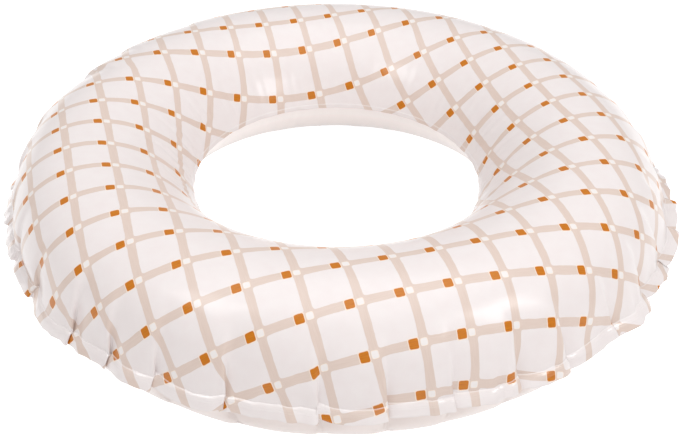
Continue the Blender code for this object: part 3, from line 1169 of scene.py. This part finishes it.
    def drooped(self, turn: np.ndarray, beyond: float) -> tuple[np.ndarray, np.ndarray]:
        """How the margin hangs: it bends over as it goes out.

        Args:
            turn: Bearings, in turns.
            beyond: Distance beyond the weld, along the margin.

        Returns:
            How far out and how far down the margin reaches there.
        """
        sway = sum(share * np.sin(math.tau * count * turn + start)
                   for share, count, start in self.droop_waves)
        distance = np.linspace(0.0, beyond, self.droop_steps)[:, None]
        bent = 1 - np.exp(-distance / self.margin_bend)
        full = np.radians(by_bearing(self.margin_droops, turn))
        droop = self.strip_droop + (full - self.strip_droop + self.droop_spread * sway) * bent
        return np.trapz(np.cos(droop), distance, axis=0), np.trapz(np.sin(droop), distance, axis=0)

    def shape_cage(self, cage: bpy.types.Object) -> None:
        """Put each point of the rolled cage in its place, and write the flat sheet's coordinates beside it.

        Args:
            cage: The cage, still a plain tube.
        """
        data = cage.data
        rows = self.rows()
        count = len(self.folds.columns)
        rolled = numbers(data.vertices, "co", 3)
        row = marks(data, "row")
        column = np.round(np.arctan2(rolled[:, 1], rolled[:, 0]) / math.tau * count).astype(int) % count
        places = np.stack([self.row_points(sheet, arc) for sheet, arc in rows])
        data.vertices.foreach_set("co", places[row, column].ravel())
        arc = np.array([arc for _, arc in rows])[row]
        bearing = math.tau * self.folds.columns[column]
        flat = (self.flat_hole_radius + arc)[:, None] * np.stack([np.cos(bearing), np.sin(bearing)], -1)
        corners = numbers(data.loops, "vertex_index", kind=np.int32)
        data.uv_layers.new(name=FLAT_MAP).data.foreach_set("uv", flat[corners].ravel())
        data.update()

    def hold(self, sheet: Sheet, arc: float) -> float:
        """How firmly a row is held to its first shape: fully on the hole's side, softly near the outer weld.

        Args:
            sheet: The row's sheet.
            arc: The row's arc from the hole's weld.

        Returns:
            A share, 0 to 1.
        """
        if sheet is Sheet.MARGIN:
            return 0.0
        if arc <= self.held_arc:
            return 1.0
        return max(1 - (self.section.film_width - arc) / self.seam_hold_reach, 0.0) ** 2

    def blow_up(self, cage: bpy.types.Object) -> None:
        """Let air pressure round the lobes, with the film held on the hole's side.

        Args:
            cage: The part of the cage that may move.
        """
        number = marks(cage.data, "row")
        rows = self.rows()
        groups = {self.feel.vertex_group_pressure: [float(sheet is not Sheet.MARGIN) for sheet, _ in rows],
                  self.feel.vertex_group_mass: [self.hold(sheet, arc) for sheet, arc in rows]}
        for name, weights in groups.items():
            group = cage.vertex_groups.new(name=name)
            for row, weight in enumerate(weights):
                if weight > 0:
                    group.add(np.flatnonzero(number == row).tolist(), weight, "REPLACE")
        modifier = modify(cage, "Air", "CLOTH")
        for name, value in asdict(self.feel).items():
            setattr(modifier.settings, name, value)
        modifier.settings.effector_weights.gravity = 0.0
        modifier.collision_settings.use_collision = False
        modifier.point_cache.frame_end = self.frames + 1
        scene = bpy.context.scene
        for step in range(1, self.frames + 1):
            scene.frame_set(step)
        settle(cage, modifier)
        scene.frame_set(1)

    def relax(self, cage: bpy.types.Object) -> None:
        """Blow up a copy of the cage without the rows on the hole's side, and carry its points back.

        Args:
            cage: The shaped cage.
        """
        mesh = bmesh.new()
        mesh.from_mesh(cage.data)
        number = mesh.verts.layers.int["row"]
        origin = mesh.verts.layers.int.new("origin")
        rows = self.rows()
        for vert in mesh.verts:
            vert[origin] = vert.index
        inner = [vert for vert in mesh.verts if rows[vert[number]][1] < self.held_arc - 1e-6]
        bmesh.ops.delete(mesh, geom=inner, context="VERTS")
        blown = linked("blown", mesh)
        self.blow_up(blown)
        points = numbers(cage.data.vertices, "co", 3)
        points[marks(blown.data, "origin")] = numbers(blown.data.vertices, "co", 3)
        points[:, 2] = np.maximum(points[:, 2], 0.0)
        cage.data.vertices.foreach_set("co", points.ravel())
        cage.data.update()
        bpy.data.objects.remove(blown)

    def cut_out(self, cage: bpy.types.Object, name: str, sheet: Sheet,
                material: bpy.types.Material) -> bpy.types.Object:
        """Copy one sheet out of the blown-up cage.

        Args:
            cage: The cage.
            name: The new piece's name.
            sheet: The sheet.
            material: The piece's finish.

        Returns:
            The piece, still without thickness.
        """
        seam = self.seam_row()
        mesh = bmesh.new()
        mesh.from_mesh(cage.data)
        number = mesh.verts.layers.int["row"]

        def owner(face: bmesh.types.BMFace) -> Sheet:
            """Sheet that a face belongs to.

            Args:
                face: The face.

            Returns:
                The sheet.
            """
            last = max(vert[number] for vert in face.verts)
            if last > 2 * seam:
                return Sheet.MARGIN
            return Sheet.UPPER if last <= seam else Sheet.LOWER

        others = [face for face in mesh.faces if owner(face) is not sheet]
        bmesh.ops.delete(mesh, geom=others, context="FACES")
        if sheet is Sheet.LOWER:
            self.open_for_valve(mesh)
        log.info("%s: %d faces", name, len(mesh.faces))
        return place_mesh(name, mesh, material)

    def open_for_valve(self, mesh: bmesh.types.BMesh) -> None:
        """Lay the lower film smooth round the valve and cut its round hole.

        Args:
            mesh: The lower film.
        """
        seat = self.seat
        reach = seat.hole_radius + self.valve_grid_reach
        near = {face for face in mesh.faces if seat.away(face.calc_center_median()) < reach}
        edges = [edge for edge in mesh.edges if not near.isdisjoint(edge.link_faces)]
        bmesh.ops.subdivide_edges(mesh, edges=edges, cuts=self.valve_grid_cuts, use_grid_fill=True)
        flat = mesh.loops.layers.uv[FLAT_MAP]
        for vert in mesh.verts:
            share = seat.calm(vert.co)
            if share > 0:
                place = vert.link_loops[0][flat].uv
                arc = place.length - self.flat_hole_radius
                radius, height, _ = (float(value) for value in self.section.at(arc))
                smooth = Vector((*(place.normalized() * radius), self.weld_level - seat.film_drop - height))
                vert.co = vert.co.lerp(smooth, share)
        inside = [face for face in mesh.faces if seat.away(face.calc_center_median()) < 2 * seat.hole_radius
                  and seat.from_axis(face.calc_center_median()) < seat.hole_radius]
        bmesh.ops.delete(mesh, geom=inside, context="FACES")
        for vert in mesh.verts:
            if vert.is_boundary and seat.away(vert.co) < 2 * seat.hole_radius:
                vert.co = seat.on_circle(vert.co, seat.hole_radius)

    def build(self, printed: FilmFinish, plain: FilmFinish, welded: FilmFinish) -> list[bpy.types.Object]:
        """Make the three pieces.

        Args:
            printed: Finish of the upper film.
            plain: Finish of the lower film.
            welded: Finish of the margin.

        Returns:
            Upper film, lower film and outer margin.
        """
        cage = self.rolled()
        self.shape_cage(cage)
        self.relax(cage)
        upper = self.cut_out(cage, "upper_sheet", Sheet.UPPER, printed.material())
        lower = self.cut_out(cage, "lower_sheet", Sheet.LOWER, plain.material())
        margin = self.cut_out(cage, "outer_margin", Sheet.MARGIN, welded.material())
        bpy.data.objects.remove(cage)
        for piece, up, thickness in ((upper, 1, self.film_thickness), (lower, -1, self.film_thickness),
                                     (margin, 1, self.margin_thickness)):
            self.face_outwards(piece, Vector((0, 0, up)))
            thicken(piece, thickness, -1)
        for piece, node, slot in ((upper, "upper_film", "printed_film"), (lower, "lower_film", "plain_film"),
                                  (margin, "outer_seam", "weld_margin")):
            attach(piece, RING_BODY)
            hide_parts(node)
        return [upper, lower, margin]

    @staticmethod
    def face_outwards(piece: bpy.types.Object, out: Vector) -> None:
        """Turn a sheet's faces to the side that most of them should look to.

        Args:
            piece: The sheet.
            out: Direction of that side.
        """
        total = sum((polygon.normal * polygon.area for polygon in piece.data.polygons), Vector())
        if total.dot(out) < 0:
            piece.data.flip_normals()


@dataclass
class HoleMargin:
    """The narrow weld margin round the hole, which hangs down along the lower film."""

    radius: float
    level: float
    width: float = 0.0056
    droop: float = math.radians(70)
    thickness: float = 0.0006
    flat_radius: float = 0.151
    rows: int = 6
    columns: int = 480
    waves: int = 41
    side_waves: int = 23
    side_share: float = 0.6
    wave_height: float = 0.0004

    def build(self, finish: FilmFinish) -> None:
        """Spin a thin strip with a slightly wavy free edge.

        Args:
            finish: The strip's finish.
        """
        sine, cosine = math.sin(self.droop), math.cos(self.droop)
        reaches = [self.width * k / self.rows for k in range(self.rows + 1)]
        profile = [(self.radius - reach * cosine, self.level - reach * sine) for reach in reaches]
        mesh = spun(profile, self.columns)
        flat = mesh.loops.layers.uv.new(FLAT_MAP)
        for face in mesh.faces:
            for loop in face.loops:
                reach = (self.level - loop.vert.co.z) / sine
                loop[flat].uv = loop.vert.co.xy.normalized() * (self.flat_radius - reach)
        for vert in mesh.verts:
            bearing = math.atan2(vert.co.y, vert.co.x)
            share = (self.level - vert.co.z) / sine / self.width
            side_sway = self.side_share * math.sin(bearing * self.side_waves + 1.0)
            sway = math.sin(bearing * self.waves) + side_sway
            vert.co.xy *= 1 + self.wave_height * share * sway / self.radius
        piece = place_mesh("hole_margin", mesh, finish.material())
        thicken(piece, self.thickness, 0)
        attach(piece, RING_BODY)
        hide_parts("inner_seam")


@dataclass
class Valve:
    """The inflation valve, pushed in and closed: flange, folding web, blowing tube, stopper and flap."""

    seat: ValveSeat
    film: bpy.types.Object
    finish: MouldedFinish
    steps: int = 96
    film_thickness: float = 0.0003
    flange_radius: float = 0.0200
    flange_thickness: float = 0.0010
    flange_rings: int = 10
    flange_inset: float = 0.0004
    flange_play: float = 0.00006
    flange_search: tuple[float, float] = (0.010, 0.020)
    rim: float = 0.0005
    stem_radius: float = 0.0065
    stem_length: float = 0.0160
    foot_radius: float = 0.0075
    foot_length: float = 0.0015
    bore_radius: float = 0.0043
    gap: float = 0.0003
    lug_width: float = 0.0050
    lug_thickness: float = 0.0015
    hinge_offset: float = 0.0105
    loop_reach: float = 0.0016
    loop_thickness: float = 0.0005
    loop_grip: float = 0.0006
    loop_half_width: float = 0.0021
    loop_steps: int = 12
    cap_thickness: float = 0.0020
    tab_length: float = 0.0025
    strap_thickness: float = 0.0010
    shank_length: float = 0.0045
    shank_tip: float = 0.0032
    web_thickness: float = 0.0005
    lip_depth: float = 0.0029
    collar_height: float = 0.0020
    flap_radius: float = 0.0054
    flap_thickness: float = 0.0005
    flap_neck: float = 0.0032
    edge: float = 0.0003

    def turned(self, profile: Profile) -> bmesh.types.BMesh:
        """Solid of revolution about the valve's axis. The profile closes on itself unless it starts there."""
        return spun(profile, self.steps, closed=profile[0][0] > 0)

    @staticmethod
    def block(low: Sequence[float], high: Sequence[float]) -> bmesh.types.BMesh:
        """Box between two corners.

        Args:
            low: The lower corner, in the valve's own axes.
            high: The upper corner.

        Returns:
            The box, with a few cuts along each side.
        """
        mesh = bmesh.new()
        bmesh.ops.create_cube(mesh, size=1.0)
        bmesh.ops.subdivide_edges(mesh, edges=mesh.edges, cuts=3, use_grid_fill=True)
        bmesh.ops.scale(mesh, vec=Vector(high) - Vector(low), verts=mesh.verts)
        bmesh.ops.translate(mesh, vec=(Vector(low) + Vector(high)) / 2, verts=mesh.verts)
        return mesh

    def placed(self, name: str, mesh: bmesh.types.BMesh) -> bpy.types.Object:
        """Object of a mesh that is drawn in the valve's own axes."""
        bmesh.ops.transform(mesh, matrix=self.seat.matrix(), verts=mesh.verts)
        return place_mesh(name, mesh, bpy.data.materials[self.finish.name])

    def joined(self, piece: bpy.types.Object, mesh: bmesh.types.BMesh) -> None:
        """Unite a second solid with a piece.

        Args:
            piece: The piece.
            mesh: The second solid, in the valve's own axes. It is freed.
        """
        tool = self.placed("tool", mesh)
        settle(piece, modify(piece, "Union", "BOOLEAN", operation="UNION", solver="EXACT", object=tool))
        bpy.data.objects.remove(tool)

    def at_height(self, height: float) -> Vector:
        """Point on the valve's axis, in the frame's coordinates."""
        return self.seat.matrix() @ Vector((0, 0, height))

    def foot(self) -> float:
        """Height of the tube's inner end."""
        return self.rim - self.stem_length

    def flange(self) -> bpy.types.Object:
        """Soft disc that lies against the inside of the lower film.

        Returns:
            The disc.
        """
        place = self.seat.matrix()
        start, reach = self.flange_search
        tree = BVHTree.FromObject(self.film, bpy.context.evaluated_depsgraph_get())
        inner = self.seat.hole_radius + self.flange_inset
        width = self.flange_radius - self.seat.hole_radius - self.flange_inset
        profile = [(inner + width * k / self.flange_rings, 0) for k in range(self.flange_rings + 1)]
        mesh = spun(profile, self.steps)
        if sum(face.normal.z for face in mesh.faces) < 0:
            bmesh.ops.reverse_faces(mesh, faces=mesh.faces)
        for vert in mesh.verts:
            above = place @ Vector((vert.co.x, vert.co.y, start))
            hit = tree.ray_cast(above, -place.to_3x3().col[2], reach)[0]
            if hit:
                vert.co.z = (place.inverted() @ hit).z - self.film_thickness - self.flange_play
        piece = self.placed("valve_disc", mesh)
        thicken(piece, self.flange_thickness, -1)
        round_edges(piece, self.edge)
        return piece

    def web(self) -> bpy.types.Object:
        """Thin cone between the hole's edge and the tube's foot, rounded where it bends.

        Returns:
            The cone.
        """
        foot = self.foot()
        step = foot + self.collar_height
        lip = self.seat.hole_radius + 0.0003
        collar = self.foot_radius + 0.00005
        top = -self.film_thickness - 0.0001
        start = [(lip - self.web_thickness - 0.0002, top),
                 (lip - self.web_thickness - 0.0005, -self.lip_depth + 0.0006)]
        bend = [(lip - 0.0014, -self.lip_depth - 0.0006), (lip - 0.0024, -self.lip_depth - 0.0022),
                (collar + 0.0022, step + 0.0022), (collar + 0.0012, step + 0.0007)]
        fall = [(collar + 0.0004, step), (collar, step - 0.0003), (collar, foot + 0.0002),
                (collar + self.web_thickness, foot + 0.0002),
                (collar + self.web_thickness + 0.0003, step - 0.0006)]
        back = [(radius + self.web_thickness * 0.93, height - self.web_thickness * 0.4)
                for radius, height in reversed(bend)]
        mesh = self.turned(start + bend + fall + back + [(lip, -self.lip_depth + 0.0004), (lip, top)])
        tall = [edge for edge in mesh.edges if abs(edge.verts[0].co.z - edge.verts[1].co.z) > 0.0025]
        bmesh.ops.subdivide_edges(mesh, edges=tall, cuts=6, use_grid_fill=True)
        return self.placed("valve_cone", mesh)

    def stem(self) -> bpy.types.Object:
        """Blowing tube with its hinge lug uphill.

        Returns:
            The tube.
        """
        foot = self.foot()
        neck = foot + self.foot_length
        profile = [(self.bore_radius, foot), (self.foot_radius, foot), (self.foot_radius, neck),
                   (self.stem_radius + 0.0002, neck + 0.0006), (self.stem_radius - 0.0002, -0.0045),
                   (self.stem_radius, -0.0038), (self.stem_radius, self.rim), (self.bore_radius, self.rim),
                   (self.bore_radius, -0.0040), (self.bore_radius + 0.0004, -0.0046),
                   (self.bore_radius + 0.0004, foot + 0.003)]
        piece = self.placed("blow_tube", self.turned(profile))
        middle = (self.stem_radius + self.bore_radius) / 2
        self.joined(piece, self.block((middle, -self.lug_width / 2, self.rim - self.lug_thickness),
                                      (self.hinge_offset, self.lug_width / 2, self.rim)))
        round_edges(piece, 0.00035)
        return piece

    def stopper(self) -> bpy.types.Object:
        """Stopper with a slightly domed cap, pull tab and strap.

        Returns:
            The stopper.
        """
        under = self.rim + self.gap
        top = under + self.cap_thickness
        tip = under - self.shank_length
        shank = self.bore_radius - self.gap
        profile = [(0, tip), (self.shank_tip, tip), (shank, under - 0.0018), (shank - 0.0002, under - 0.0009),
                   (shank, under), (self.stem_radius, under), (self.stem_radius, top - 0.0003),
                   (self.stem_radius * 0.78, top - 0.00005), (0, top)]
        piece = self.placed("stopper", self.turned(profile))
        half = self.lug_width / 2
        self.joined(piece, self.block((self.stem_radius / 2, -half, under),
                                      (self.hinge_offset, half, under + self.strap_thickness)))
        low = under + self.gap
        self.joined(piece, self.block((-self.stem_radius - self.tab_length, -half * 0.8, low),
                                      (-self.stem_radius / 2, half * 0.8, low + self.strap_thickness)))
        round_edges(piece, self.edge)
        return piece

    def loop(self) -> bpy.types.Object:
        """Living hinge: a thin strap that turns back from the lug's end to the stopper's strap.

        Returns:
            The strap.
        """
        low = self.rim - self.lug_thickness / 2
        high = self.rim + self.gap + self.strap_thickness / 2
        middle, half = (low + high) / 2, (high - low) / 2
        angles = [math.radians(-90 + 180 * k / self.loop_steps) for k in range(self.loop_steps + 1)]
        bend = [(self.hinge_offset + self.loop_reach * math.cos(angle), middle + half * math.sin(angle))
                for angle in angles]
        end = self.hinge_offset - self.loop_grip
        mesh = bmesh.new()
        line = [mesh.verts.new((x, -self.loop_half_width, z)) for x, z in [(end, low)] + bend + [(end, high)]]
        edges = [mesh.edges.new(pair) for pair in zip(line, line[1:])]
        made = bmesh.ops.extrude_edge_only(mesh, edges=edges)["geom"]
        far = [part for part in made if isinstance(part, bmesh.types.BMVert)]
        bmesh.ops.translate(mesh, vec=(0, 2 * self.loop_half_width, 0), verts=far)
        bmesh.ops.recalc_face_normals(mesh, faces=mesh.faces)
        piece = self.placed("strap_hinge", mesh)
        thicken(piece, self.loop_thickness, 0)
        return piece

    def flap(self) -> bpy.types.Object:
        """Thin disc under the bore, with a short neck to the tube's foot.

        Returns:
            The disc.
        """
        top = self.foot() - self.gap
        low = top - self.flap_thickness
        disc = self.turned([(0, low), (self.flap_radius, low), (self.flap_radius, top), (0, top)])
        piece = self.placed("flap_disc", disc)
        self.joined(piece, self.block((self.flap_radius - 0.0012, -self.flap_neck / 2, low),
                                      (self.foot_radius - 0.0003, self.flap_neck / 2, self.foot() - 0.00002)))
        round_edges(piece, 0.00012, 2)
        return piece

    def build(self) -> None:
        """Make the valve's pieces and give the disc, the tube and the stopper their bodies."""
        self.finish.material()
        flange, web, stem = self.flange(), self.web(), self.stem()
        stopper, loop, flap = self.stopper(), self.loop(), self.flap()
        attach(flange, RING_BODY)
        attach(stem, STEM_BODY)
        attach(stopper, PLUG_BODY)
        foot = self.foot()
        self.at_height(-self.lip_depth)
        self.at_height(foot + self.collar_height)
        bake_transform(web)
        self.at_height(self.rim - 0.0003)
        self.at_height(self.rim + self.gap + 0.0003)
        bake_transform(loop)
        place = self.seat.matrix()
        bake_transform(flap)
        for piece, node in ((flange, "valve_flange"), (web, "valve_web"), (stem, "valve_stem"),
                            (stopper, "valve_plug"), (flap, "check_flap")):
            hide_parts(node)
        for piece in (flange, web, stem, stopper, loop, flap):
            log.info("%s: %d faces", piece.name, len(piece.data.polygons))


@dataclass(frozen=True)
class SoftBox:
    """A square lamp that is aimed at the ring."""

    name: str
    place: tuple[float, float, float]
    size: float
    power: float


@dataclass
class Studio:
    """Floor, light and camera."""

    weld_level: float
    camera_distance: float = 1.2461
    camera_height_angle: float = math.radians(33.57)
    camera_roll: float = math.radians(0.29)
    focal_pixels: float = 1034.2
    frame_size: tuple[int, int] = (680, 434)
    image_middle: tuple[float, float] = (336.65, 174.73)
    sensor: float = 36.0
    floor_size: float = 8.0
    world_strength: float = 0.50
    world_colour: tuple[float, float, float, float] = (1.0, 0.99, 0.985, 1.0)
    floor_colour: tuple[float, float, float, float] = (0.96, 0.95, 0.95, 1.0)
    shadow_share: float = 0.45
    boxes: tuple[SoftBox, ...] = (SoftBox("left_box", (-1.0, -0.62, 1.9), 0.6, 6.5),
                                  SoftBox("right_box", (1.5, -1.0, 1.6), 0.6, 9.0),
                                  SoftBox("top_box", (0.1, 0.1, 2.5), 2.2, 22.0),
                                  SoftBox("front_fill", (0.9, -2.2, 1.1), 1.6, 4.0))

    def target(self) -> Vector:
        """Middle of the ring on the weld plane."""
        return Vector((0, 0, self.weld_level))

    def camera(self) -> None:
        """Camera at the photographed angle, aimed at the middle of the ring on the weld plane."""
        back = Vector((0, -math.cos(self.camera_height_angle), math.sin(self.camera_height_angle)))
        width, height = self.frame_size
        data = bpy.data.cameras.new("camera")
        data.sensor_width = self.sensor
        data.lens = self.focal_pixels / width * self.sensor
        data.shift_x = (width / 2 - self.image_middle[0]) / width
        data.shift_y = (self.image_middle[1] - height / 2) / width
        data.clip_start = 0.01
        made = added("camera", data)
        turned = (-back).to_track_quat("-Z", "Y").to_matrix() @ Matrix.Rotation(self.camera_roll, 3, "Z")
        made.matrix_world = Matrix.Translation(self.target() + back * self.camera_distance) @ turned.to_4x4()
        bpy.context.scene.camera = made

    def lamp(self, box: SoftBox) -> None:
        """Hang up one soft box.

        Args:
            box: Its place, size and power.
        """
        data = bpy.data.lights.new(box.name, "AREA")
        data.size = box.size
        data.energy = box.power
        made = added(box.name, data)
        made.location = box.place
        made.rotation_euler = (self.target() - made.location).to_track_quat("-Z", "Y").to_euler()

    def world(self) -> None:
        """Even light, with plain white behind the object."""
        made = bpy.data.worlds.new("studio")
        sheen = Sheen(made)
        sheen.paint({"Color": self.world_colour, "Strength": self.world_strength})
        white = sheen.node("ShaderNodeBackground")
        sheen.feed(white.inputs, (1.0, 1.0, 1.0, 1.0))
        sheen.show(("Is Camera Ray", "Is Transmission Ray"), 1.0, white)
        bpy.context.scene.world = made

    def floor(self) -> None:
        """Plain pale floor that keeps a faint shadow."""
        mesh = bmesh.new()
        bmesh.ops.create_grid(mesh, x_segments=1, y_segments=1, size=self.floor_size / 2)
        white = bpy.data.materials.new("floor_white")
        sheen = Sheen(white)
        sheen.paint({"Base Color": self.floor_colour, "Roughness": 0.9, "Specular IOR Level": 0.0})
        glow = sheen.node("ShaderNodeEmission")
        glow.inputs["Strength"].default_value = 1.0 / (1 - self.shadow_share)
        sheen.show(("Is Camera Ray", "Is Glossy Ray", "Is Transmission Ray"), 1 - self.shadow_share, glow)
        place_mesh("floor", mesh, white)

    def build(self) -> None:
        """Set the whole studio."""
        self.camera()
        self.world()
        self.floor()
        for box in self.boxes:
            self.lamp(box)
        bpy.context.scene.view_settings.view_transform = "Standard"


def main() -> None:
    """Build every piece in order."""
    logging.basicConfig(level=logging.INFO, format="%(message)s")
    low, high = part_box("inner_seam")
    weld_level = (low.z + high.z) / 2
    printed = FilmFinish("printed_film", printed=True)
    seat = ValveSeat()
    # Plain film inks: the film's own pinker tone, darkened as painted shade of the underside. Their weld ink
    # is the pale colour of the painted light band round the hole.
    plain_inks_and_painted_light = Inks(sheet=srgb(231, 219, 214), shade=srgb(225, 212, 207), weld=srgb(255, 248, 245))
    # Plain film: a broad band of painted light round the hole, paled towards the weld ink and fully pale in a
    # thin line at its edge, plus a faint painted glow all over.
    plain = FilmFinish("plain_film", printed=False, inks=plain_inks_and_painted_light, disc_middle=seat.centre,
                       weld_radius=0.151, weld_width=0.050, weld_edge=0.050, weld_fade=1.0, glint=1.0,
                       weld_rib_height=0.0, glow=0.05)
    # The outer margin keeps the default painted highlight: a paled strip and a painted glint along the weld.
    welded = FilmFinish("welded_margin", printed=True, weld_width=0.0080, roughness=0.24, coat=0.7,
                        coat_roughness=0.10)
    # The hole weld keeps the default painted highlight: a paled strip and a painted glint along the weld.
    hole = FilmFinish("hole_weld", printed=True, weld_width=0.0030, weld_radius=0.151, weld_side=-1.0,
                      roughness=0.26, coat=0.4)
    section = TubeSection()
    _, lower, _ = BlownFilms(section, Folds(), seat, weld_level).build(printed, plain, welded)
    HoleMargin(section.hole_radius, weld_level).build(hole)
    Valve(seat, lower, MouldedFinish("valve_vinyl")).build()
    Studio(weld_level).build()


if __name__ == "__main__":
    main()
